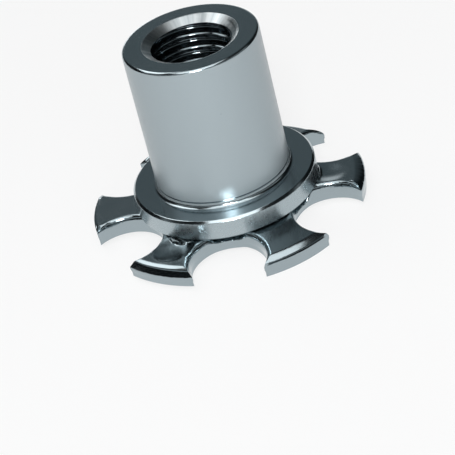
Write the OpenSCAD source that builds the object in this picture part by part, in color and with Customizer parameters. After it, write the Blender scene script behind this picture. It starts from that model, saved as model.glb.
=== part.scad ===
// Sleeve nut with a star plate.
// A turned sleeve with an inside thread and a collar at its foot is riveted through a stamped star plate.
// The axis is +Z, the lowest arm tips stand on z = 0, and one struck arm points along +X.
// The fine thread itself is left out: the hole has the diameter of the thread's crests.

/* [Sleeve] */
// Outside diameter of the sleeve
sleeve_d = 12; // [10.5:0.1:14]
// Height of the sleeve above the collar
sleeve_h = 13.5; // [6:0.1:30]
// Radius that rounds the sleeve's top edge
sleeve_edge_r = 0.3; // [0.1:0.05:0.6]
// Radius of the fillet between the sleeve and the collar
foot_fillet_r = 0.5; // [0.2:0.05:0.9]

/* [Threaded hole] */
// Diameter of the hole at the thread's crests
hole_d = 6.8; // [5:0.1:7.5]
// Diameter of the countersink at each mouth of the hole
sink_d = 8.5; // [7.6:0.1:9]
// Depth of the countersink at each mouth of the hole
sink_depth = 0.5; // [0.2:0.05:1]

/* [Collar] */
// Diameter of the collar
collar_d = 16.4; // [15:0.1:18]
// Thickness of the collar
collar_t = 1.95; // [1.4:0.05:3]
// Radius that rounds the collar's upper edge
collar_edge_r = 0.36; // [0.1:0.02:0.5]
// Chamfer under the rim of the collar
collar_chamfer = 0.2; // [0.05:0.05:0.4]

/* [Rivet] */
// Diameter of the spigot that passes through the plate
spigot_d = 9.6; // [9.2:0.1:10.4]
// Depth and overhang of the swaged end in the plate's underside
swage = 0.6; // [0.2:0.05:0.9]

/* [Star plate] */
// Diameter over the arm tips
plate_d = 24.55; // [22:0.05:28]
// Thickness of the sheet
plate_t = 1.65; // [1:0.05:2.5]
// Diameter of each round notch between two arms
notch_d = 6.7; // [5:0.1:7.6]
// Distance from the circle of the arm tips in to the centre of each notch
notch_inset = 1.65; // [1:0.05:2.2]
// Width of the upper edge at the arm tips, rolled over by the punch
tip_roll = 0.75; // [0.1:0.05:0.8]
// Width of the rolled upper edge round the notches
notch_roll = 0.6; // [0.1:0.05:0.7]
// Angle that the most bent arm drops by
arm_bend = 7; // [0:0.2:10]

/* [Struck arms] */
// Width of the dent struck in every second arm
dent_d = 3.5; // [1.5:0.1:3.6]
// Depth of the dent
dent_depth = 0.3; // [0.1:0.05:0.5]
// Distance from the collar's wall to the middle of the dent
dent_offset = 1.4; // [1:0.1:2.4]
// Width of the lip raised beside the collar
lip_w = 2.2; // [1:0.1:3]
// Height of that lip
lip_h = 0.45; // [0.2:0.05:0.6]
// How far the lip stands out from the collar
lip_out = 0.45; // [0.2:0.05:0.6]

/* [Hidden] */
$fn = 96;

// Length by which a cut runs past the face that it opens
overrun = 0.5;
// Clearance between the raised lip and the wall of the collar
lip_gap = 0.05;
// Length by which the lines that the arms bend at meet inside the notches
bend_reach = 0.8;
// Length by which the level end of each arm runs into the hub
hub_overlap = 0.4;
// Angle at which a rolled edge leaves both faces
roll_angle = 15;
// Radius of a rolled edge and distance of its centre from both faces, as shares of its width
roll_r_share = sqrt(1 / 2) / sin(45 - roll_angle);
roll_centre_share = (1 + 1 / tan(45 - roll_angle)) / 2;
// Drop of each arm as a share of arm_bend, from the arm on +X round to the left
arm_bend_shares = [0.33, 0.97, 0.95, 0.03, 0.33, 1];

arm_count = len(arm_bend_shares);
arm_pitch = 360 / arm_count;
sleeve_r = sleeve_d / 2;
hole_r = hole_d / 2;
sink_r = sink_d / 2;
collar_r = collar_d / 2;
spigot_r = spigot_d / 2;
tip_r = plate_d / 2;
notch_r = notch_d / 2;
notch_centre_r = tip_r - notch_inset;

// Each arm bends along a line from notch to notch, a little outside the hub's flat side
bend_r = (notch_centre_r - notch_r + bend_reach) * cos(arm_pitch / 2);
hub_corner_r = (bend_r - hub_overlap) / cos(arm_pitch / 2);

// Heights above the surface that the arm tips stand on
steepest_bend = arm_bend * max(arm_bend_shares);
hub_z = (tip_r - bend_r) * sin(steepest_bend) - plate_t * pow(sin(steepest_bend), 2);
seat_z = hub_z + plate_t;
collar_top_z = seat_z + collar_t;
top_z = collar_top_z + sleeve_h;

// Half of a section, from the axis outwards, with its upper outer corner rounded
module rounded_section(w, h, edge_r) {
    square([w - edge_r, h]);
    square([w, h - edge_r]);
    translate([w - edge_r, h - edge_r]) circle(edge_r);
}

// The corner that is left between two straight lines and the quarter round that joins them
module hollow_corner(r) {
    difference() {
        square(r);
        translate([r, r]) circle(r);
    }
}

// Half of the section of a countersink that opens upwards at height 0
module sink_section() {
    polygon([
        [0, -sink_depth],
        [hole_r, -sink_depth],
        [sink_r, 0],
        [sink_r, overrun],
        [0, overrun],
    ]);
}

// Half of the section of the collar, with its chamfer below
module collar_section() {
    difference() {
        rounded_section(collar_r, collar_t, collar_edge_r);
        translate([collar_r, 0]) rotate(45) square(collar_chamfer * sqrt(2), center = true);
    }
}

// Half of the section of the spigot, from inside the collar to the swaged end in the plate's countersink
module spigot_section() {
    polygon([
        [0, 0],
        [spigot_r + swage, 0],
        [spigot_r, swage],
        [spigot_r, plate_t + collar_t / 2],
        [0, plate_t + collar_t / 2],
    ]);
}

// The turned piece: sleeve, collar and spigot in one
module threaded_sleeve() {
    color("silver") rotate_extrude() difference() {
        union() {
            translate([0, seat_z]) rounded_section(sleeve_r, collar_t + sleeve_h, sleeve_edge_r);
            translate([0, seat_z]) collar_section();
            translate([sleeve_r, collar_top_z]) hollow_corner(foot_fillet_r);
            translate([0, hub_z]) spigot_section();
        }
        translate([0, hub_z - overrun]) square([hole_r, top_z - hub_z + 2 * overrun]);
        translate([0, top_z]) sink_section();
        translate([0, hub_z]) mirror([0, 1]) sink_section();
    }
}

// Section of what a rolled edge takes off the corner at the origin, where both faces run along the positive axes
module rolled_corner(w) {
    difference() {
        translate([-overrun, -overrun]) square(w * roll_centre_share + overrun);
        translate([w * roll_centre_share, w * roll_centre_share]) circle(w * roll_r_share);
    }
}

// What the rolled edge takes off an arm's tip
module tip_edge() {
    rotate_extrude() translate([tip_r, plate_t]) rotate(180) rolled_corner(tip_roll);
}

// The punch that cuts one notch, with the mouth that leaves a rolled edge
module notch_punch() {
    translate([notch_centre_r, 0, 0]) rotate_extrude() {
        translate([0, -overrun]) square([notch_r, plate_t + 2 * overrun]);
        translate([notch_r, plate_t]) mirror([0, 1]) rolled_corner(notch_roll);
    }
}

// The level middle of the plate, with one flat side for each arm
module hub() {
    difference() {
        rotate(arm_pitch / 2) cylinder(h = plate_t, r = hub_corner_r, $fn = arm_count);
        for (i = [0 : arm_count - 1])
            rotate((i + 1 / 2) * arm_pitch) translate([notch_centre_r, 0, -overrun])
                cylinder(h = plate_t + 2 * overrun, r = notch_r);
    }
}

// The dent that a round-nosed punch leaves in the top of an arm
module dent() {
    nose_r = (pow(dent_d / 2, 2) + pow(dent_depth, 2)) / (2 * dent_depth);
    translate([collar_r + dent_offset, 0, plate_t - dent_depth + nose_r]) sphere(nose_r);
}

// The lip of metal that the punch pushes up against the collar: part of a ball that is sunk in the arm
module lip() {
    rise_r = (pow(lip_w / 2, 2) + pow(lip_h, 2)) / (2 * lip_h);
    inset = (pow(lip_w / 2, 2) - pow(lip_out, 2)) / (2 * lip_out);
    ball_r = sqrt(pow(rise_r, 2) + pow(inset, 2));
    wall_r = collar_r + lip_gap;
    difference() {
        intersection() {
            translate([wall_r - inset, 0, plate_t + lip_h - rise_r]) sphere(ball_r);
            translate([bend_r, -lip_w, plate_t / 2]) cube([tip_r - bend_r, 2 * lip_w, plate_t]);
        }
        cylinder(h = plate_t + ball_r, r = wall_r);
    }
}

// Turns what is drawn on a level arm down about its bend line, which lies in the top face
module on_arm(angle) {
    translate([bend_r, 0, plate_t]) rotate([0, angle, 0]) translate([-bend_r, 0, -plate_t]) children();
}

// The sheet of one arm: level up to the bend line, and bent down from there on
module sheet(angle) {
    start_r = spigot_r;
    end_r = tip_r + overrun;
    drop = (end_r - bend_r) * tan(angle);
    translate([0, tip_r, 0]) rotate([90, 0, 0]) linear_extrude(2 * tip_r) polygon([
        [start_r, 0],
        [bend_r, 0],
        [end_r, -drop],
        [end_r, plate_t - drop],
        [bend_r, plate_t],
        [start_r, plate_t],
    ]);
}

// One plain arm along +X, bent down by an angle
module plain_arm(angle) {
    difference() {
        intersection() {
            sheet(angle);
            translate([0, 0, -hub_z - overrun]) rotate(-arm_pitch / 2)
                rotate_extrude(angle = arm_pitch) square([2 * tip_r, hub_z + plate_t + 2 * overrun]);
            on_arm(angle) translate([0, 0, -overrun]) cylinder(h = plate_t + 2 * overrun, r = tip_r);
        }
        on_arm(angle) tip_edge();
        for (side = [-1, 1])
            on_arm(angle) rotate(side * arm_pitch / 2) notch_punch();
    }
}

// The same arm with the dent and the raised lip
module struck_arm(angle) {
    difference() {
        plain_arm(angle);
        on_arm(angle) dent();
    }
    on_arm(angle) lip();
}

// The stamped plate: hub and arms, with the countersunk hole that the spigot is riveted in
module star_plate() {
    color("lightslategray") translate([0, 0, hub_z]) difference() {
        union() {
            hub();
            for (i = [0 : arm_count - 1])
                rotate(i * arm_pitch) {
                    if (i % 2 == 0) struck_arm(arm_bend * arm_bend_shares[i]);
                    else plain_arm(arm_bend * arm_bend_shares[i]);
                }
        }
        rotate_extrude() {
            spigot_section();
            translate([0, -overrun]) square([spigot_r, plate_t + 2 * overrun]);
        }
    }
}

threaded_sleeve();
star_plate();
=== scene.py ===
# %% [markdown]
# # A sleeve nut on a star plate
# This lesson dresses a small piece of hardware. A turned steel sleeve has a thread inside and a collar
# at its foot, and it is riveted through a stamped plate with six drooping arms.
# The measured solids come first and stay where they are. Each one is then replaced by a finer mesh of
# the same size, because the thread, the rolled edges and the torn edges are too fine for the solids.

# %% Load the measured frame
import math

import bmesh
import bpy
import numpy as np
from mathutils import Matrix, Vector


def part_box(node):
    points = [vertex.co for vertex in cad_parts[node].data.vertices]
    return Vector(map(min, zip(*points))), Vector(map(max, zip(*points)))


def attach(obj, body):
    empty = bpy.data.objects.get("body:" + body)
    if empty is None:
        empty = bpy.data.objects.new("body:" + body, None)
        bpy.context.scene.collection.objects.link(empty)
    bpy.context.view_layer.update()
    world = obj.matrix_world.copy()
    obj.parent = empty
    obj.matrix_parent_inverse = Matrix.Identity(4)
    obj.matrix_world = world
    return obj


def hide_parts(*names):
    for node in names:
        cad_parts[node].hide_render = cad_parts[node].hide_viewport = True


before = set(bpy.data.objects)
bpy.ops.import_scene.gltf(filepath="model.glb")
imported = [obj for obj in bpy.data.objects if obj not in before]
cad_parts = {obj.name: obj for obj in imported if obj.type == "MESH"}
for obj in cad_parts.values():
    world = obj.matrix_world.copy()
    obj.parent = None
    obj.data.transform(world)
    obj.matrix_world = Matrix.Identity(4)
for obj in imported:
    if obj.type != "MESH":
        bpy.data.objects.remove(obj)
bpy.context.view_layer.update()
MM = 0.001
print("pieces:", sorted(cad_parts))

# %% [markdown]
# ## Sizes
# Heights come from the boxes of the solids, so that the meshes sit where the solids sit.
# The other sizes are the few that both pieces share, in millimetres. Working in millimetres keeps the
# numbers easy to read, and one factor turns them into metres when a mesh is made.

# %% Sizes in millimetres
sleeve_low, sleeve_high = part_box("threaded_sleeve")
hub_z = sleeve_low.z / MM
top_z = sleeve_high.z / MM
sleeve_r = 6.0
collar_r = 8.2
collar_t = 1.95
spigot_r = 4.8
swage = 0.6
plate_t = 1.65
arm_count = 6
tip_r = 12.275
notch_r = 3.35
notch_centre_inset = 1.65
notch_centre_r = tip_r - notch_centre_inset
seat_z = hub_z + plate_t
collar_top_z = seat_z + collar_t
print(f"hub at {hub_z:.3f}, seat at {seat_z:.3f}, top at {top_z:.3f} mm")

# %% [markdown]
# ## The camera
# A long lens close to the object gives little perspective, as in a catalogue picture. The camera's own
# axes are worked out from three angles: how far it stands round the object, how high it looks from, and
# how far it is rolled. Blender's camera looks along its local -Z, so the third column of its rotation
# points back from the object to the lens.

# %% Camera
view_turn = math.radians(8.684)
view_rise = math.radians(32.305)
view_roll = math.radians(-14.446)
view_distance = 188.963
view_shift_right = 0.382
view_shift_up = 2.161
image_px = 455
focal_px = 2116.18

level_right = Vector((math.cos(view_turn), math.sin(view_turn), 0))
level_back = Vector((math.sin(view_turn), -math.cos(view_turn), 0))
back = level_back * math.cos(view_rise) + Vector((0, 0, math.sin(view_rise)))
level_up = back.cross(level_right)
right = level_right * math.cos(view_roll) + level_up * math.sin(view_roll)
up = back.cross(right)
place = back * view_distance - right * view_shift_right - up * view_shift_up + Vector((0, 0, hub_z))

camera_data = bpy.data.cameras.new("camera")
camera_data.sensor_width = 36
camera_data.lens = focal_px * camera_data.sensor_width / image_px
camera_data.clip_start = 0.01
camera = bpy.data.objects.new("camera", camera_data)
camera.matrix_world = Matrix.Translation(place * MM) @ Matrix((right, up, back)).transposed().to_4x4()
bpy.context.collection.objects.link(camera)
bpy.context.scene.camera = camera
print(f"lens {camera_data.lens:.1f} mm, {place.length:.0f} mm from the middle")

# %% [markdown]
# ## Helpers for meshes
# Both pieces are made of grids of points. A grid can wrap round in one or both directions, which is all
# that a lathe needs, and several grids can be joined by merging the points that they share.
# Smooth shading with creases kept at steep angles shows round edges as round and sharp ones as sharp.

# %% Helpers for meshes
MERGE_DISTANCE = 2e-7


def grid_faces(rows, columns, first=0, wrap_rows=False, wrap_columns=False):
    """Four-sided faces between the points of a grid that is stored row by row."""
    index = np.arange(rows * columns).reshape(rows, columns) + first
    if wrap_rows:
        index = np.vstack([index, index[:1]])
    if wrap_columns:
        index = np.hstack([index, index[:, :1]])
    corners = [index[:-1, :-1], index[:-1, 1:], index[1:, 1:], index[1:, :-1]]
    return np.stack(corners, axis=-1).reshape(-1, 4)


def make_piece(name, points, faces, crease_angle):
    """A closed mesh object from points in millimetres, with shared points merged and normals outside."""
    mesh = bpy.data.meshes.new(name)
    mesh.from_pydata((points * MM).tolist(), [], faces.tolist())
    work = bmesh.new()
    work.from_mesh(mesh)
    bmesh.ops.remove_doubles(work, verts=work.verts, dist=MERGE_DISTANCE)
    bmesh.ops.recalc_face_normals(work, faces=work.faces)
    open_edges = sum(1 for edge in work.edges if not edge.is_manifold)
    work.to_mesh(mesh)
    work.free()
    mesh.shade_smooth()
    mesh.set_sharp_from_angle(angle=math.radians(crease_angle))
    piece = bpy.data.objects.new(name, mesh)
    bpy.context.collection.objects.link(piece)
    print(f"{name}: {len(mesh.polygons)} faces, {open_edges} open edges")
    return piece


def smooth_step(low, high, value):
    """0 below low, 1 above high, and a smooth rise between them."""
    share = np.clip((value - low) / (high - low), 0, 1)
    return share * share * (3 - 2 * share)


# %% [markdown]
# ## The turned sleeve
# The sleeve was turned on a lathe and threaded with a tap, so its mesh is turned too: a section is
# swept round the axis in many small steps. The Screw modifier could do this, but it can't vary the inner
# radius round the turn, and that variation is the thread. So the rings are worked out in code.
# The collar's upper edge is a narrow bevel with softened corners. A fine groove runs round the sleeve just
# above the fillet at its foot, and shows as a thin dark line.
# Each round edge is an arc, and a supporting ring close to both ends of every straight keeps smooth
# shading from bleeding out of the arcs across the flat faces.

# %% Helpers for a turned section
support = 0.03
long_straight = 4 * support


def arc(centre_r, centre_z, radius, start, end, steps=8):
    """Points along an arc in the section plane, between two angles in degrees."""
    angles = np.radians(np.linspace(start, end, steps + 1))
    return [(centre_r + radius * math.cos(a), centre_z + radius * math.sin(a)) for a in angles]


def with_supports(section):
    """The same section, with an extra point near both ends of each long straight."""
    points = [np.array(section[0])]
    for following in section[1:]:
        following = np.array(following)
        step = following - points[-1]
        length = np.linalg.norm(step)
        if length > long_straight:
            near = points[-1] + step * support / length
            points += [near, following - step * support / length]
        points.append(following)
    return np.array(points)


# %% The sleeve's outside section
sink_r = 4.25
collar_chamfer = 0.2
collar_bevel = 0.22
bevel_round = 0.1
bevel_reach = 0.04
foot_fillet = 0.4
groove_rise = 0.45
groove_depth = 0.12
groove_floor = 0.08
groove_mouth = 0.15
sleeve_round = 0.3
groove_z = collar_top_z + groove_rise
bevel_low_z = collar_top_z - collar_bevel - bevel_reach
bevel_top_r = collar_r - collar_bevel - bevel_reach

outside = [
    (sink_r, hub_z),
    (spigot_r + swage, hub_z),
    (spigot_r, hub_z + swage),
    (spigot_r, seat_z),
    (collar_r - collar_chamfer, seat_z),
    (collar_r, seat_z + collar_chamfer),
]
outside += arc(collar_r - bevel_round, bevel_low_z, bevel_round, 0, 45, steps=3)
outside += arc(bevel_top_r, collar_top_z - bevel_round, bevel_round, 45, 90, steps=3)
outside += arc(sleeve_r + foot_fillet, collar_top_z + foot_fillet, foot_fillet, 270, 180)
outside += [
    (sleeve_r, groove_z),
    (sleeve_r - groove_depth, groove_z),
    (sleeve_r - groove_depth, groove_z + groove_floor),
    (sleeve_r, groove_z + groove_mouth),
]
outside += arc(sleeve_r - sleeve_round, top_z - sleeve_round, sleeve_round, 0, 90)
outside += [(sink_r, top_z)]
outside = with_supports(outside)
print(f"the outside section has {len(outside)} points")

# %% [markdown]
# ## The thread
# A tapped thread is a groove that climbs one pitch in each turn. The height of a point, less the climb at
# its angle, says where it lies across the groove, and that gives its radius. A few samples side by side
# are averaged, which rounds the crests and roots a little. The countersinks at both mouths cut the thread
# away wherever their cones are wider.

# %% The thread
hole_r = 3.4
sink_depth = 0.5
pitch = 1.25
root_r = 4.0
root_flat = pitch / 8
flank_angle = 30
flank_slope = 1 / math.tan(math.radians(flank_angle))
thread_start = 0.658
thread_rounding = 0.06
rounding_samples = 7


def thread_radius(angle, height):
    """Inner radius of the right-hand thread, between its crests and its roots."""
    across = (height - top_z) / pitch - angle / (2 * math.pi) + thread_start
    total = 0
    for shift in np.linspace(-thread_rounding, thread_rounding, rounding_samples):
        from_groove = np.abs(np.mod(across + shift / pitch, 1) - 0.5) * pitch
        flank = root_r - (from_groove - root_flat / 2) * flank_slope
        total = total + np.clip(flank, hole_r, root_r) / rounding_samples
    return total


def sink_radius(height):
    """Radius of the nearer countersink's cone, which is narrower than the hole away from the mouths."""
    depth = np.minimum(top_z - height, height - hub_z)
    return sink_r - depth * (sink_r - hole_r) / sink_depth


print(f"{(top_z - hub_z) / pitch:.1f} turns of thread")

# %% [markdown]
# ## The whole sleeve
# The rings of the outside run up to the top, and the rings of the hole run back down, so one grid that
# wraps both ways makes a closed piece. The rings are close together near the mouth, where the thread is
# seen, and further apart below.

# %% The whole sleeve
turn_steps = 180
mouth_gap = 0.04
fine_depth = 5.0
fine_row = 0.035
coarse_row = 0.125
sleeve_crease = 32

inside_heights = np.concatenate([
    np.arange(top_z - mouth_gap, top_z - fine_depth, -fine_row),
    np.arange(top_z - fine_depth, hub_z + mouth_gap, -coarse_row),
])
angles = np.linspace(0, 2 * math.pi, turn_steps, endpoint=False)
thread_r = thread_radius(angles[None, :], inside_heights[:, None])
inside_r = np.maximum(thread_r, sink_radius(inside_heights)[:, None])
outside_r = np.repeat(outside[:, :1], turn_steps, axis=1)
ring_r = np.vstack([outside_r, inside_r])
ring_z = np.concatenate([outside[:, 1], inside_heights])
sleeve_points = np.stack([
    ring_r * np.cos(angles),
    ring_r * np.sin(angles),
    np.repeat(ring_z[:, None], turn_steps, axis=1),
], axis=-1).reshape(-1, 3)
sleeve_faces = grid_faces(len(ring_z), turn_steps, wrap_rows=True, wrap_columns=True)
sleeve = make_piece("threaded_sleeve_turned", sleeve_points, sleeve_faces, sleeve_crease)
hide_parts("threaded_sleeve")
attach(sleeve, "root")

# %% [markdown]
# ## The star plate's outline
# The plate was punched out of sheet: six round notches leave six arms between them, and the tips lie on
# one circle. Every line that runs round an arm is worked out at some inset from this outline, so the
# rolled upper edge and the torn lower edge are the same two arcs, moved in a little.
# Each arm is drawn flat along +X first, and its right side is its left side mirrored.

# %% Lines round one arm
half_pitch = math.pi / arm_count
side_steps = 12
notch_steps = 72
tip_steps = 56
notch_shares = np.linspace(0, 1, notch_steps + 1)
tip_shares = np.linspace(0, 1, tip_steps + 1)
mirrored = np.array([1, -1])


def toward(angle):
    """Unit vectors at some angles round the axis."""
    return np.stack([np.cos(angle), np.sin(angle)], axis=-1)


notch_centre = toward(half_pitch) * notch_centre_r
hole_circle = toward(half_pitch * (2 * tip_shares - 1))


def corner_azimuth(notch_inset, tip_inset):
    """Angle, seen from the axis, of the corner between a notch and the arm's tip."""
    near = notch_r + notch_inset
    far = tip_r - tip_inset
    cosine = (far**2 + notch_centre_r**2 - near**2) / (2 * far * notch_centre_r)
    return half_pitch - math.acos(cosine)


def notch_line(notch_inset, tip_inset):
    """Points round the left-hand notch, from its root on the line between two arms to the arm's corner."""
    insets = np.broadcast_to(notch_inset, notch_shares.shape)
    corner = (tip_r - tip_inset) * toward(corner_azimuth(insets[-1], tip_inset)) - notch_centre
    start = half_pitch - math.pi
    end = math.atan2(corner[1], corner[0])
    return notch_centre + (notch_r + insets)[:, None] * toward(start + notch_shares * (end - start))


def tip_line(notch_inset, tip_inset):
    """Points along the tip, from the right-hand corner to the left-hand one."""
    corner_inset = np.broadcast_to(notch_inset, notch_shares.shape)[-1]
    azimuth = corner_azimuth(corner_inset, tip_inset) * (2 * tip_shares - 1)
    return (tip_r - tip_inset) * toward(azimuth)


def round_arm(right_part, tip_part, left_part):
    """Joins what runs along the right notch, the tip and the left notch into one line round an arm."""
    return np.concatenate([right_part, tip_part, left_part[::-1]])


def arm_outline(notch_inset, tip_inset):
    """One line round an arm: out along the right notch, across the tip and back along the left notch."""
    left = notch_line(notch_inset, tip_inset)
    return round_arm(left * mirrored, tip_line(notch_inset, tip_inset)[1:-1], left)


def arm_patch(inner_r, notch_inset, tip_inset):
    """A grid of points over one arm, from the hole in the hub out to the tip."""
    notch = notch_line(notch_inset, tip_inset)
    root = np.linspace(inner_r, np.linalg.norm(notch[0]), side_steps + 1)[:-1]
    left = np.vstack([root[:, None] * toward(half_pitch), notch])
    share = tip_shares[None, :, None]
    patch = (left * mirrored)[:, None] * (1 - share) + left[:, None] * share
    rows = np.linspace(0, 1, len(left))[:, None, None]
    to_hole = (inner_r * hole_circle - patch[0])[None] * (1 - rows) ** 2
    to_tip = (tip_line(notch_inset, tip_inset) - patch[-1])[None] * rows**3
    return patch + to_hole + to_tip


print(f"half an arm's tip spans {math.degrees(corner_azimuth(0, 0)):.1f} degrees")

# %% [markdown]
# ## Struck dents
# Every second arm carries a dent from a round-nosed punch, close to the collar, which locks the plate to
# the sleeve. The punch also pushes a small lip of metal up against the collar. A sculpted dent would be
# hard to repeat, so each form is a depth worked out for every point. The three differ a little: two
# fade out softly, and the third has a small ridge round its rim.

# %% Dents, lips and waves
dent_centres = {0: (9.1, -0.1), 2: (9.2, 0.0), 4: (9.3, 0.0)}
dent_depths = {0: 0.24, 2: 0.3, 4: 0.36}
dent_half_length = 1.95
dent_half_width = 1.85
soft_dents = [0, 2]
soft_dent_gain = 1.1
dent_rim = 0.02
dent_rim_width = 0.07
lip_centres = {0: 0.3, 2: 0.0, 4: -0.25}
lip_tuck = 0.02
lip_r = collar_r - lip_tuck
lip_out = 0.32
lip_half_width = 0.95
lip_height = 0.6
wave_height = 0.012
waves = [(1.3, 0.9, 2.1), (-0.8, 1.7, 1.3)]


def dent_drop(along, across, arm):
    """How far the struck dent lowers the top of an arm, softly or with a small ridge round its rim."""
    centre = dent_centres[arm]
    distance = np.hypot((along - centre[0]) / dent_half_length, (across - centre[1]) / dent_half_width)
    bowl = np.clip(1 - distance**2, 0, None)
    if arm in soft_dents:
        return dent_depths[arm] * bowl * bowl * soft_dent_gain
    ridge = dent_rim * np.exp(-(((distance - 1) / dent_rim_width) ** 2))
    return dent_depths[arm] * bowl - ridge


def lip_rise(along, across, arm):
    """How high the lip stands that the punch pushed up against the collar."""
    from_axis = np.hypot(along, across)
    out = (from_axis - lip_r) / lip_out
    side = (across - lip_centres[arm]) / lip_half_width
    return lip_height * np.clip(1 - out**2 - side**2, 0, None) * (from_axis > lip_r)


def wave_drop(along, across, arm):
    """The slight unevenness that stamping leaves in the top of an arm."""
    total = sum(np.sin(a * along + b * across + c * arm) for a, b, c in waves)
    return wave_height * total / len(waves)


print(f"{len(dent_centres)} arms with a dent, {max(dent_depths.values())} mm deep at most")

# %% [markdown]
# ## Bent arms
# The arms droop, each by its own angle. A Simple Deform modifier bends a whole mesh about one axis, but
# here six arms bend about six lines, so each flat arm is laid along a gently bent centre line instead.
# A table of that line, summed in small steps, keeps the arm's length the same however far it bends.

# %% Bending one arm
bend_r = 6.993
bend_spread = 0.5
table_steps = 1400
table_overrun = 1


def bend_arm(flat, drop, angle, azimuth):
    """Lays flat points, each at a depth below the top, on a bent arm and turns the arm into place."""
    table = np.linspace(0, tip_r + table_overrun, table_steps)
    slope = math.radians(angle) * smooth_step(bend_r - bend_spread, bend_r + bend_spread, table)
    step = table[1] - table[0]
    along = np.concatenate([[0], np.cumsum(np.cos(slope[:-1]) * step)])
    down = np.concatenate([[0], np.cumsum(np.sin(slope[:-1]) * step)])
    tilt = np.interp(flat[..., 0], table, slope)
    depth = drop * np.cos(tilt)
    x = np.interp(flat[..., 0], table, along) - depth * np.sin(tilt)
    y = flat[..., 1]
    z = seat_z - np.interp(flat[..., 0], table, down) - depth * np.cos(tilt)
    turn = math.radians(azimuth)
    turned_x = x * math.cos(turn) - y * math.sin(turn)
    turned_y = x * math.sin(turn) + y * math.cos(turn)
    return np.stack([turned_x, turned_y, z], axis=-1)


print(f"the arms bend {bend_r:.2f} mm from the axis")

# %% [markdown]
# ## Rolled and torn edges
# A punch drags the upper edge of the sheet down into a soft roll, then shears a little, and at last the
# metal tears. So an edge has a round shoulder, then a bright band, then a torn band that lies a little
# further in. The line below the shoulder is ragged, which is what makes a stamped edge look stamped.
# A Bevel modifier gives every edge the same round. Here the edge changes along its way: at the root of a
# notch it is drawn down to a ledge under the collar, and each tip is rolled, bevelled or drooping by its
# own amount. So the depth of the edge is worked out point by point.

# %% How deep the edge of one arm rolls
root_limits = (0.12, 0.3)
corner_limits = (0.8, 1)
bevel_limits = (0.85, 1)
rag_limits = (0, 0.1)
tip_limits = (0.36, 0.5)
root_share = 1 - smooth_step(*root_limits, notch_shares)
corner_share = smooth_step(*corner_limits, notch_shares)
bevel_share = smooth_step(*bevel_limits, notch_shares)
notch_rag_share = smooth_step(*rag_limits, notch_shares) * (1 - bevel_share)
tip_share = 1 - smooth_step(*tip_limits, np.abs(tip_shares - 0.5))
side_roll = 0.42
root_roll = 0.8
notch_roll = side_roll + root_roll * root_share
side_depth = 0.66
right_side_depths = {1: 0.3}
root_depth = 0.85
deep_roots = {5: 1.15}
tip_depths = [0.5, 1.35, 0.3, 0.15, 0.75, 0.45]
notch_length = 2 * notch_r
tip_length = tip_r / 2
notch_rag = 0.1
tip_rag = 0.06
ragged_waves = [(4.1, 1.7), (9.3, 2.9), (15.7, 0.7), (23.9, 4.1)]
right_seed = 5
tip_seed = 9


def ragged(place_mm, seed):
    """A ragged line between -1 and 1 along an edge, made of waves about a millimetre long and shorter."""
    return sum(np.sin(place_mm * a + seed * b) for a, b in ragged_waves) / len(ragged_waves)


def side_line(arm, roll_depth, root, seed):
    """Depth of the roll along one notch, and at its corner, where it meets the tip halfway."""
    corner = (roll_depth + tip_depths[arm]) / 2
    base = roll_depth + (corner - roll_depth) * corner_share + (root - roll_depth) * root_share
    return base * (1 + notch_rag * notch_rag_share * ragged(notch_shares * notch_length, seed)), corner


def edge_depths(arm):
    """Depth of the roll along one line round an arm, alike where two arms meet."""
    left_root = deep_roots.get(arm, root_depth)
    right_root = deep_roots.get((arm - 1) % arm_count, root_depth)
    left, left_corner = side_line(arm, side_depth, left_root, arm)
    right_depth = right_side_depths.get(arm, side_depth)
    right_line, right_corner = side_line(arm, right_depth, right_root, arm + right_seed)
    corner_line = right_corner + (left_corner - right_corner) * tip_shares
    tip = corner_line + (tip_depths[arm] - corner_line) * tip_share
    tip = tip * (1 + tip_rag * tip_share * ragged(tip_shares * tip_length, arm + tip_seed))
    return round_arm(right_line, tip[1:-1], left)


print(f"the tips roll down by {min(tip_depths)} to {max(tip_depths)} mm")

# %% [markdown]
# ## From the top face to the underside
# The edge is a strip of lines round the arm. The first rows go round the roll: a plain one is a quarter
# of an ellipse, a bevelled one is a straight slope, and a drooping one sinks gently before a steep
# shoulder. The last rows go down the sheared wall to the underside.

# %% The edge of one arm
tip_rolls = [0.9, 1.1, 0.5, 0.35, 0.8, 0.8]
tip_bevels = [0.45, 0.3, 0.8, 0.6, 0.0, 0.0]
tip_droops = {4: 0.15, 5: 0.27}
droop_shares = {4: 0.6, 5: 0.87}
droop_powers = {4: 2.0, 5: 1.15}
ledge_depth = 0.83
ledge_turn = 0.5
roll_steps = 12
wall_steps = 7
tear_set_back = 0.04
tear_start = 0.3
tear_end = 0.55


def drooping(reach, depth, arm):
    """Depth, as a share of the whole, of a tip that droops gently before a steep shoulder."""
    droop = tip_droops[arm] / depth
    gentle = min(reach / droop_shares[arm], 1) ** droop_powers[arm]
    steep = max(reach - droop_shares[arm], 0) / (1 - droop_shares[arm])
    return droop * gentle + (1 - droop) * steep


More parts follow.
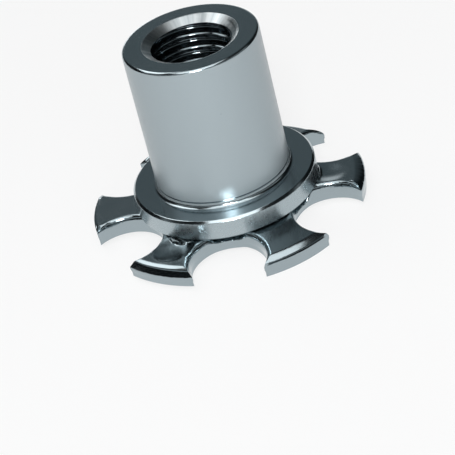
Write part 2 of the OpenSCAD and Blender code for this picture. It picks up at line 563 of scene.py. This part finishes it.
def edge_strip(arm):
    """Flat points and depths down the edge of one arm, from the top face to the underside, row by row."""
    depth = edge_depths(arm)
    on_tip = np.ones(tip_steps - 1)
    ledge = round_arm(root_share, 0 * on_tip, root_share)
    bevel = tip_bevels[arm] * round_arm(bevel_share, on_tip, bevel_share)
    soft = (arm in tip_droops) * round_arm(corner_share, on_tip, corner_share)
    lines = []
    drops = []
    for turn in np.linspace(0, math.pi / 2, roll_steps + 1):
        reach = math.sin(turn)
        rounded = 1 - math.cos(turn)
        stepped = ledge_depth * smooth_step(0, ledge_turn, turn) + (1 - ledge_depth) * rounded
        drooped = drooping(reach, depth, arm) if arm in tip_droops else rounded
        plain = rounded * (1 - soft) + drooped * soft
        lines.append(arm_outline(notch_roll * (1 - reach), tip_rolls[arm] * (1 - reach)))
        drops.append(depth * (plain * (1 - ledge - bevel) + stepped * ledge + reach * bevel))
    for share in np.linspace(0, 1, wall_steps + 1)[1:]:
        inset = float(tear_set_back * smooth_step(tear_start, tear_end, share))
        lines.append(arm_outline(inset, inset))
        drops.append(depth + (plate_t - depth) * share)
    return np.array(lines), np.array(drops)


print(f"each edge has {roll_steps} rows of roll and {wall_steps} rows of wall")

# %% [markdown]
# ## The whole plate
# Six arms are formed one after the other and joined along the lines between them. On each arm the top
# face, the edge, the underside and a sixth of the countersunk hole are grids that share their border points.
# Waves and dents fade out towards the hub, so that the collar sits on a level face.

# %% The whole plate
arm_angles = [2.31, 6.79, 6.65, 0.21, 2.31, 7.0]
hole_clearance = 0.01
wave_limits = (7.2, 8.6)
dent_limits = (7.9, 8.2)
plate_crease = 40


def surface_drop(flat, arm):
    """How far waves and the dent lower the surface of an arm."""
    along = flat[..., 0]
    across = flat[..., 1]
    drop = wave_drop(along, across, arm) * smooth_step(*wave_limits, along)
    if arm in dent_centres:
        drop = drop + dent_drop(along, across, arm)
        drop = drop * smooth_step(*dent_limits, np.hypot(along, across))
    return drop


def form_arm(arm):
    """The four grids of one arm: its top, its edge, its underside and its part of the hole."""
    top = arm_patch(spigot_r + hole_clearance, notch_roll, tip_rolls[arm])
    top_drop = surface_drop(top, arm)
    if arm in dent_centres:
        top_drop = top_drop - lip_rise(top[..., 0], top[..., 1], arm)
    edge, edge_drop = edge_strip(arm)
    fade = np.concatenate([np.linspace(1, 0, roll_steps + 1), np.zeros(wall_steps)])[:, None]
    edge_drop = edge_drop + surface_drop(edge, arm) * fade
    under = arm_patch(spigot_r + swage + hole_clearance, tear_set_back, tear_set_back)
    under_drop = np.full(under.shape[:2], plate_t)
    hole_rows = np.array([spigot_r, spigot_r, spigot_r + swage]) + hole_clearance
    hole = hole_rows[:, None, None] * hole_circle[None]
    hole_drop = np.array([0, plate_t - swage, plate_t])[:, None] + np.zeros(len(hole_circle))
    grids = [(top, top_drop), (edge, edge_drop), (under, under_drop), (hole, hole_drop)]
    azimuth = 360 / arm_count * arm
    return [bend_arm(flat, drop, arm_angles[arm], azimuth) for flat, drop in grids]


plate_points = []
plate_faces = []
point_count = 0
for arm in range(arm_count):
    for grid in form_arm(arm):
        plate_faces.append(grid_faces(grid.shape[0], grid.shape[1], point_count))
        plate_points.append(grid.reshape(-1, 3))
        point_count += len(plate_points[-1])

plate = make_piece("star_plate_stamped", np.vstack(plate_points), np.vstack(plate_faces), plate_crease)
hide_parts("star_plate")
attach(plate, "root")

# %% [markdown]
# ## Helpers for materials
# A node tree soon fills with links. A few helpers keep it readable: each one adds a node, plugs in what it
# is given, either another node's output or a plain value, and hands back the output that matters.

# %% Helpers for materials
def plug(tree, source, socket):
    """Links a node's output to a socket, or sets the socket where the source is a plain value."""
    if isinstance(source, bpy.types.NodeSocket):
        tree.links.new(source, socket)
    else:
        socket.default_value = source


def maths(tree, operation, first, second=0.0, clamp=False):
    """A maths node on one or two values."""
    node = tree.nodes.new("ShaderNodeMath")
    node.operation = operation
    node.use_clamp = clamp
    plug(tree, first, node.inputs[0])
    plug(tree, second, node.inputs[1])
    return node.outputs[0]


def vector_maths(tree, operation, first, second=(0, 0, 0), output="Vector"):
    """A maths node on one or two vectors, with a vector or a value as its result."""
    node = tree.nodes.new("ShaderNodeVectorMath")
    node.operation = operation
    plug(tree, first, node.inputs[0])
    plug(tree, second, node.inputs[1])
    return node.outputs[output]


def upright(tree, vector):
    """The Z part of a vector."""
    node = tree.nodes.new("ShaderNodeSeparateXYZ")
    tree.links.new(vector, node.inputs[0])
    return node.outputs["Z"]


def ramp(tree, source, start=0.0, end=1.0, low=0.0, high=1.0):
    """Runs from low to high while a value runs from start to end, and stays level beyond them."""
    node = tree.nodes.new("ShaderNodeMapRange")
    for name, value in (("From Min", start), ("From Max", end), ("To Min", low), ("To Max", high)):
        node.inputs[name].default_value = value
    tree.links.new(source, node.inputs["Value"])
    return node.outputs["Result"]


def mix(tree, share, first, second, kind="FLOAT"):
    """The first value or colour where the share is 0, and the second where it is 1."""
    node = tree.nodes.new("ShaderNodeMix")
    node.data_type = kind
    plug(tree, share, node.inputs["Factor"])
    plug(tree, first, node.inputs["A"])
    plug(tree, second, node.inputs["B"])
    return node.outputs["Result"]


def noise(tree, source, scale, detail, dimensions="3D"):
    """A noise with its scale per metre, read at a place or, in one dimension, at a length."""
    node = tree.nodes.new("ShaderNodeTexNoise")
    node.noise_dimensions = dimensions
    node.inputs["Scale"].default_value = scale
    node.inputs["Detail"].default_value = detail
    tree.links.new(source, node.inputs["W" if dimensions == "1D" else "Vector"])
    return node.outputs["Fac"]


# %% [markdown]
# ## Steel
# Both pieces are bright plated steel with a cool tint. What sets them apart is the way they were made:
# turning leaves fine rings round the axis, and stamping leaves the faint grain of rolled sheet.
# Such marks are far too fine to model, so they are a bump: it tilts the light, and the mesh stays as it is.

# %% Plain steel
relief = 2e-6
uneven_low = 0.7
uneven_high = 1.3


def new_steel(name, colour):
    """A plain metal, with its node tree, its shader and the place of each point on the piece."""
    material = bpy.data.materials.new(name)
    material.use_nodes = True
    tree = material.node_tree
    shader = tree.nodes["Principled BSDF"]
    shader.inputs["Metallic"].default_value = 1.0
    shader.inputs["Base Color"].default_value = colour
    coordinates = tree.nodes.new("ShaderNodeTexCoord")
    return material, tree, shader, coordinates.outputs["Object"]


def add_relief(tree, shader, height, strength):
    """A very fine relief in the surface of a metal."""
    bump = tree.nodes.new("ShaderNodeBump")
    bump.inputs["Strength"].default_value = strength
    bump.inputs["Distance"].default_value = relief
    tree.links.new(height, bump.inputs["Height"])
    tree.links.new(bump.outputs["Normal"], shader.inputs["Normal"])


print(f"relief {relief * 1e6:.0f} micrometres high")

# %% [markdown]
# ## Turned rings
# The distance from the axis plus the height is one number that changes across every turned face, so a
# noise along that number alone draws rings everywhere on the sleeve. The rings also stretch each
# reflection across them. Anisotropy does that, with tangents that run round the axis.

# %% Turned rings
turned_colour = (0.41, 0.477, 0.505, 1)
ring_scale = 4000
ring_strength = 0.4
turned, tree, shader, object_place = new_steel("turned_steel_look", turned_colour)
level_place = vector_maths(tree, "MULTIPLY", object_place, (1, 1, 0))
radius = vector_maths(tree, "LENGTH", level_place, output="Value")
height = upright(tree, object_place)
across_rings = maths(tree, "ADD", radius, height)
rings = noise(tree, across_rings, ring_scale, detail=3, dimensions="1D")
add_relief(tree, shader, rings, ring_strength)

grooves = tree.nodes.new("ShaderNodeTangent")
grooves.direction_type = "RADIAL"
grooves.axis = "Z"
shader.inputs["Anisotropic"].default_value = 0.4
shader.inputs["Anisotropic Rotation"].default_value = 0.25
tree.links.new(grooves.outputs["Tangent"], shader.inputs["Tangent"])
sleeve.data.materials.append(turned)
print("rings:", len(tree.nodes), "nodes")

# %% [markdown]
# ## How rough each turned face is
# The wall of the sleeve is satin, the rim of the collar a little less so, and the level faces are bright.
# The cone at the mouth is satin too, and the thread is smooth. Separate materials would need the mesh
# split into slots. The faces already differ in radius and height, so shares worked out from those two
# pick each face instead.

# %% How rough each turned face is
bright_rough = 0.16
satin_rough = 0.33
rim_rough = 0.12
cone_rough = 0.33
thread_rough = 0.14
mottle_scale = 2500
wall_limits = (0.03 * MM, 0.012 * MM)
rim_limits = ((collar_r - 0.05) * MM, (collar_r - 0.01) * MM)
mouth_r = (sink_r + 0.01) * MM
cone_foot = top_z - sink_depth
cone_limits = ((cone_foot + 0.02) * MM, (cone_foot - 0.02) * MM)

off_wall = maths(tree, "ABSOLUTE", maths(tree, "SUBTRACT", radius, sleeve_r * MM))
satin_share = ramp(tree, off_wall, *wall_limits)
rim_share = ramp(tree, radius, *rim_limits)
in_hole = maths(tree, "LESS_THAN", radius, mouth_r)
below_cone = ramp(tree, height, *cone_limits)
on_thread = maths(tree, "MULTIPLY", in_hole, below_cone)

satin = ramp(tree, satin_share, low=bright_rough, high=satin_rough)
finish = maths(tree, "ADD", satin, ramp(tree, rim_share, high=rim_rough))
mottle = noise(tree, object_place, mottle_scale, detail=4)
mottle = ramp(tree, mottle, low=uneven_low, high=uneven_high)
outside_rough = maths(tree, "MULTIPLY", finish, mottle)
mouth_rough = mix(tree, in_hole, outside_rough, cone_rough)
rough = mix(tree, on_thread, mouth_rough, thread_rough)
tree.links.new(rough, shader.inputs["Roughness"])
print("roughness:", len(tree.nodes), "nodes")

# %% [markdown]
# ## Colours of the turned faces
# The satin wall scatters light, so it is half metal and half a plain grey. The cone at the mouth has pale
# and dark streaks that run down it, from a noise that changes only round the axis. The thread is painted
# darker, as painted shade deep inside the hole.

# %% Colours of the turned faces
satin_colour = (0.317, 0.368, 0.391, 1)
# painted shade: the thread's colour is darkened to stand for the shade deep inside the hole
thread_shade_colour = (0.24, 0.28, 0.3, 1)
cone_dark = (0.36, 0.41, 0.43, 1)
cone_pale = (0.66, 0.7, 0.71, 1)
satin_metal = 0.5
streak_scale = 6
streak_limits = (0.35, 0.6)

round_axis = vector_maths(tree, "NORMALIZE", level_place)
streaks = noise(tree, round_axis, streak_scale, detail=5)
streaked = mix(tree, ramp(tree, streaks, *streak_limits), cone_dark, cone_pale, "RGBA")
outside_colour = mix(tree, satin_share, turned_colour, satin_colour, "RGBA")
mouth_colour = mix(tree, in_hole, outside_colour, streaked, "RGBA")
# the thread takes the darker colour of painted shade
sleeve_colour = mix(tree, on_thread, mouth_colour, thread_shade_colour, "RGBA")
metal = mix(tree, on_thread, ramp(tree, satin_share, low=1.0, high=satin_metal), 1.0)
tree.links.new(sleeve_colour, shader.inputs["Base Color"])
tree.links.new(metal, shader.inputs["Metallic"])
print("turned steel:", len(tree.nodes), "nodes")

# %% [markdown]
# ## Stamped steel
# The plate keeps the faint grain of rolled sheet on its level faces. The punch burnished the rolled and
# sheared edges, so they are smoother. How far a face leans tells the two apart.

# %% Stamped steel
stamped_colour = (0.345, 0.405, 0.43, 1)
edge_rough = 0.14
sheet_rough = 0.22
grain_scale = 6000
grain_strength = 0.5
level_limits = (0.93, 0.985)

stamped, tree, shader, object_place = new_steel("stamped_steel_look", stamped_colour)
grain = noise(tree, object_place, grain_scale, detail=4)
add_relief(tree, shader, grain, grain_strength)
surface = tree.nodes.new("ShaderNodeNewGeometry")
level_share = ramp(tree, upright(tree, surface.outputs["Normal"]), *level_limits)
face_rough = ramp(tree, level_share, low=edge_rough, high=sheet_rough)
grain_share = ramp(tree, grain, low=uneven_low, high=uneven_high)
tree.links.new(maths(tree, "MULTIPLY", face_rough, grain_share), shader.inputs["Roughness"])
plate.data.materials.append(stamped)
print("stamped steel:", len(tree.nodes), "nodes")

# %% [markdown]
# ## The floor
# The nut stands on a plain pale floor that fills the view. Part of its brightness comes from the floor's
# own glow towards the camera and towards the metal, so it stays pale in the reflections too, and the rest
# is lit, so it keeps the nut's soft shadow.

# %% Floor
floor_colour = (0.9, 0.9, 0.9, 1)
floor_glow = (0.96, 0.96, 0.96, 1)
glow_share = 0.8
floor_half = 1.5
floor_mesh = bpy.data.meshes.new("floor")
corners = [(-1, -1), (1, -1), (1, 1), (-1, 1)]
floor_mesh.from_pydata([(x * floor_half, y * floor_half, 0) for x, y in corners], [], [(0, 1, 2, 3)])
floor = bpy.data.objects.new("floor", floor_mesh)
bpy.context.collection.objects.link(floor)

paper = bpy.data.materials.new("floor_paper")
paper.use_nodes = True
tree = paper.node_tree
tree.nodes.remove(tree.nodes["Principled BSDF"])
lit = tree.nodes.new("ShaderNodeBsdfDiffuse")
lit.inputs["Color"].default_value = floor_colour
glow = tree.nodes.new("ShaderNodeEmission")
glow.inputs["Color"].default_value = floor_glow
rays = tree.nodes.new("ShaderNodeLightPath")
seen = maths(tree, "ADD", rays.outputs["Is Camera Ray"], rays.outputs["Is Glossy Ray"])
seen = maths(tree, "ADD", seen, rays.outputs["Is Transmission Ray"], clamp=True)
lit_or_glow = tree.nodes.new("ShaderNodeMixShader")
tree.links.new(maths(tree, "MULTIPLY", seen, glow_share), lit_or_glow.inputs["Fac"])
tree.links.new(lit.outputs[0], lit_or_glow.inputs[1])
tree.links.new(glow.outputs[0], lit_or_glow.inputs[2])
tree.links.new(lit_or_glow.outputs[0], tree.nodes["Material Output"].inputs["Surface"])
floor_mesh.materials.append(paper)
print("floor:", floor_half * 2, "m wide")

# %% [markdown]
# ## Light
# Metal shows its surroundings, so lighting it means placing things for it to mirror. A small flash beside
# the camera makes the glint at the sleeve's foot. Soft lights in front, overhead and behind at the left
# draw bright lines along the rolled edges, and a low strip behind shows in faces that lean forward.
# A broad fill in front is hidden from reflections: it only lifts what scatters light, such as the wall.

# %% Lights
light_distance = 0.5
light_aim = Vector((0, 0, 0.008))


def to_direction(turn, rise):
    """A direction from the nut, turned from the camera's side to the right and raised, both in degrees."""
    turn = math.radians(turn)
    rise = math.radians(rise)
    level = level_right * math.sin(turn) + level_back * math.cos(turn)
    return level * math.cos(rise) + Vector((0, 0, math.sin(rise)))


def add_light(name, turn, rise, width, height, brightness):
    """A rectangular light that shines on the nut, with its brightness as seen in a mirror."""
    data = bpy.data.lights.new(name, "AREA")
    data.shape = "RECTANGLE"
    data.size = width
    data.size_y = height
    data.energy = brightness * math.pi * width * height
    light = bpy.data.objects.new(name, data)
    light.location = to_direction(turn, rise) * light_distance
    light.rotation_euler = (light_aim - light.location).to_track_quat("-Z", "Y").to_euler()
    bpy.context.collection.objects.link(light)
    print(f"{name}: {data.energy:.2f} W")
    return light


add_light("flash", turn=-4, rise=38, width=0.11, height=0.1, brightness=42)
add_light("front_softbox", turn=-3, rise=60, width=0.42, height=0.19, brightness=2.2)
add_light("left_softbox", turn=-132, rise=55, width=0.38, height=0.19, brightness=2.2)
add_light("overhead", turn=0, rise=87, width=0.4, height=0.18, brightness=1.8)
add_light("low_strip", turn=-171, rise=9, width=0.1, height=0.06, brightness=3)
fill = add_light("front_fill", turn=0, rise=15, width=0.7, height=0.2, brightness=2.5)
fill.visible_glossy = False

# %% [markdown]
# ## The room
# What the lights leave free is the room. It is dark at the sides, so that round faces get dark outlines,
# and grey in front and behind, where the level faces find their tone. Low behind the nut stands a pale
# backdrop. The foot of the wall mirrors the collar's top, and that in turn mirrors the room at the
# camera's own height, so a pale band runs round the front half there and keeps the foot from going dark.
# An image of a real studio could do this, but a few ramps are easier to adjust.

# %% The room
dark_side = (0.008, 0.01, 0.011, 1)
grey_room = (0.105, 0.127, 0.136, 1)
pale_band = (0.42, 0.45, 0.46, 1)
pale_backdrop = (0.85, 0.87, 0.88, 1)
side_limits = (0.78, 0.95)
front_limits = (0.25, 0.05)
band_foot = (0.36, 0.42)
band_top = (0.6, 0.54)
backdrop_limits = (0.95, 0.99)
backdrop_top = (0.33, 0.2)

world = bpy.data.worlds.new("studio")
world.use_nodes = True
tree = world.node_tree
direction = tree.nodes.new("ShaderNodeTexCoord").outputs["Generated"]
level_direction = vector_maths(tree, "NORMALIZE", vector_maths(tree, "MULTIPLY", direction, (1, 1, 0)))
behind = vector_maths(tree, "DOT_PRODUCT", level_direction, -level_back, output="Value")
height = upright(tree, direction)

room_share = ramp(tree, maths(tree, "ABSOLUTE", behind), *side_limits)
room = mix(tree, room_share, dark_side, grey_room, "RGBA")
band_height = maths(tree, "MULTIPLY", ramp(tree, height, *band_foot), ramp(tree, height, *band_top))
band_share = maths(tree, "MULTIPLY", band_height, ramp(tree, behind, *front_limits))
banded = mix(tree, band_share, room, pale_band, "RGBA")
low_share = ramp(tree, height, *backdrop_top)
backdrop_share = maths(tree, "MULTIPLY", ramp(tree, behind, *backdrop_limits), low_share)
backdrop = mix(tree, backdrop_share, banded, pale_backdrop, "RGBA")
tree.links.new(backdrop, tree.nodes["Background"].inputs["Color"])
bpy.context.scene.world = world
bpy.context.scene.view_settings.view_transform = "Standard"
print("room: dark sides, grey in front and behind, a pale band in front and a pale backdrop low behind")
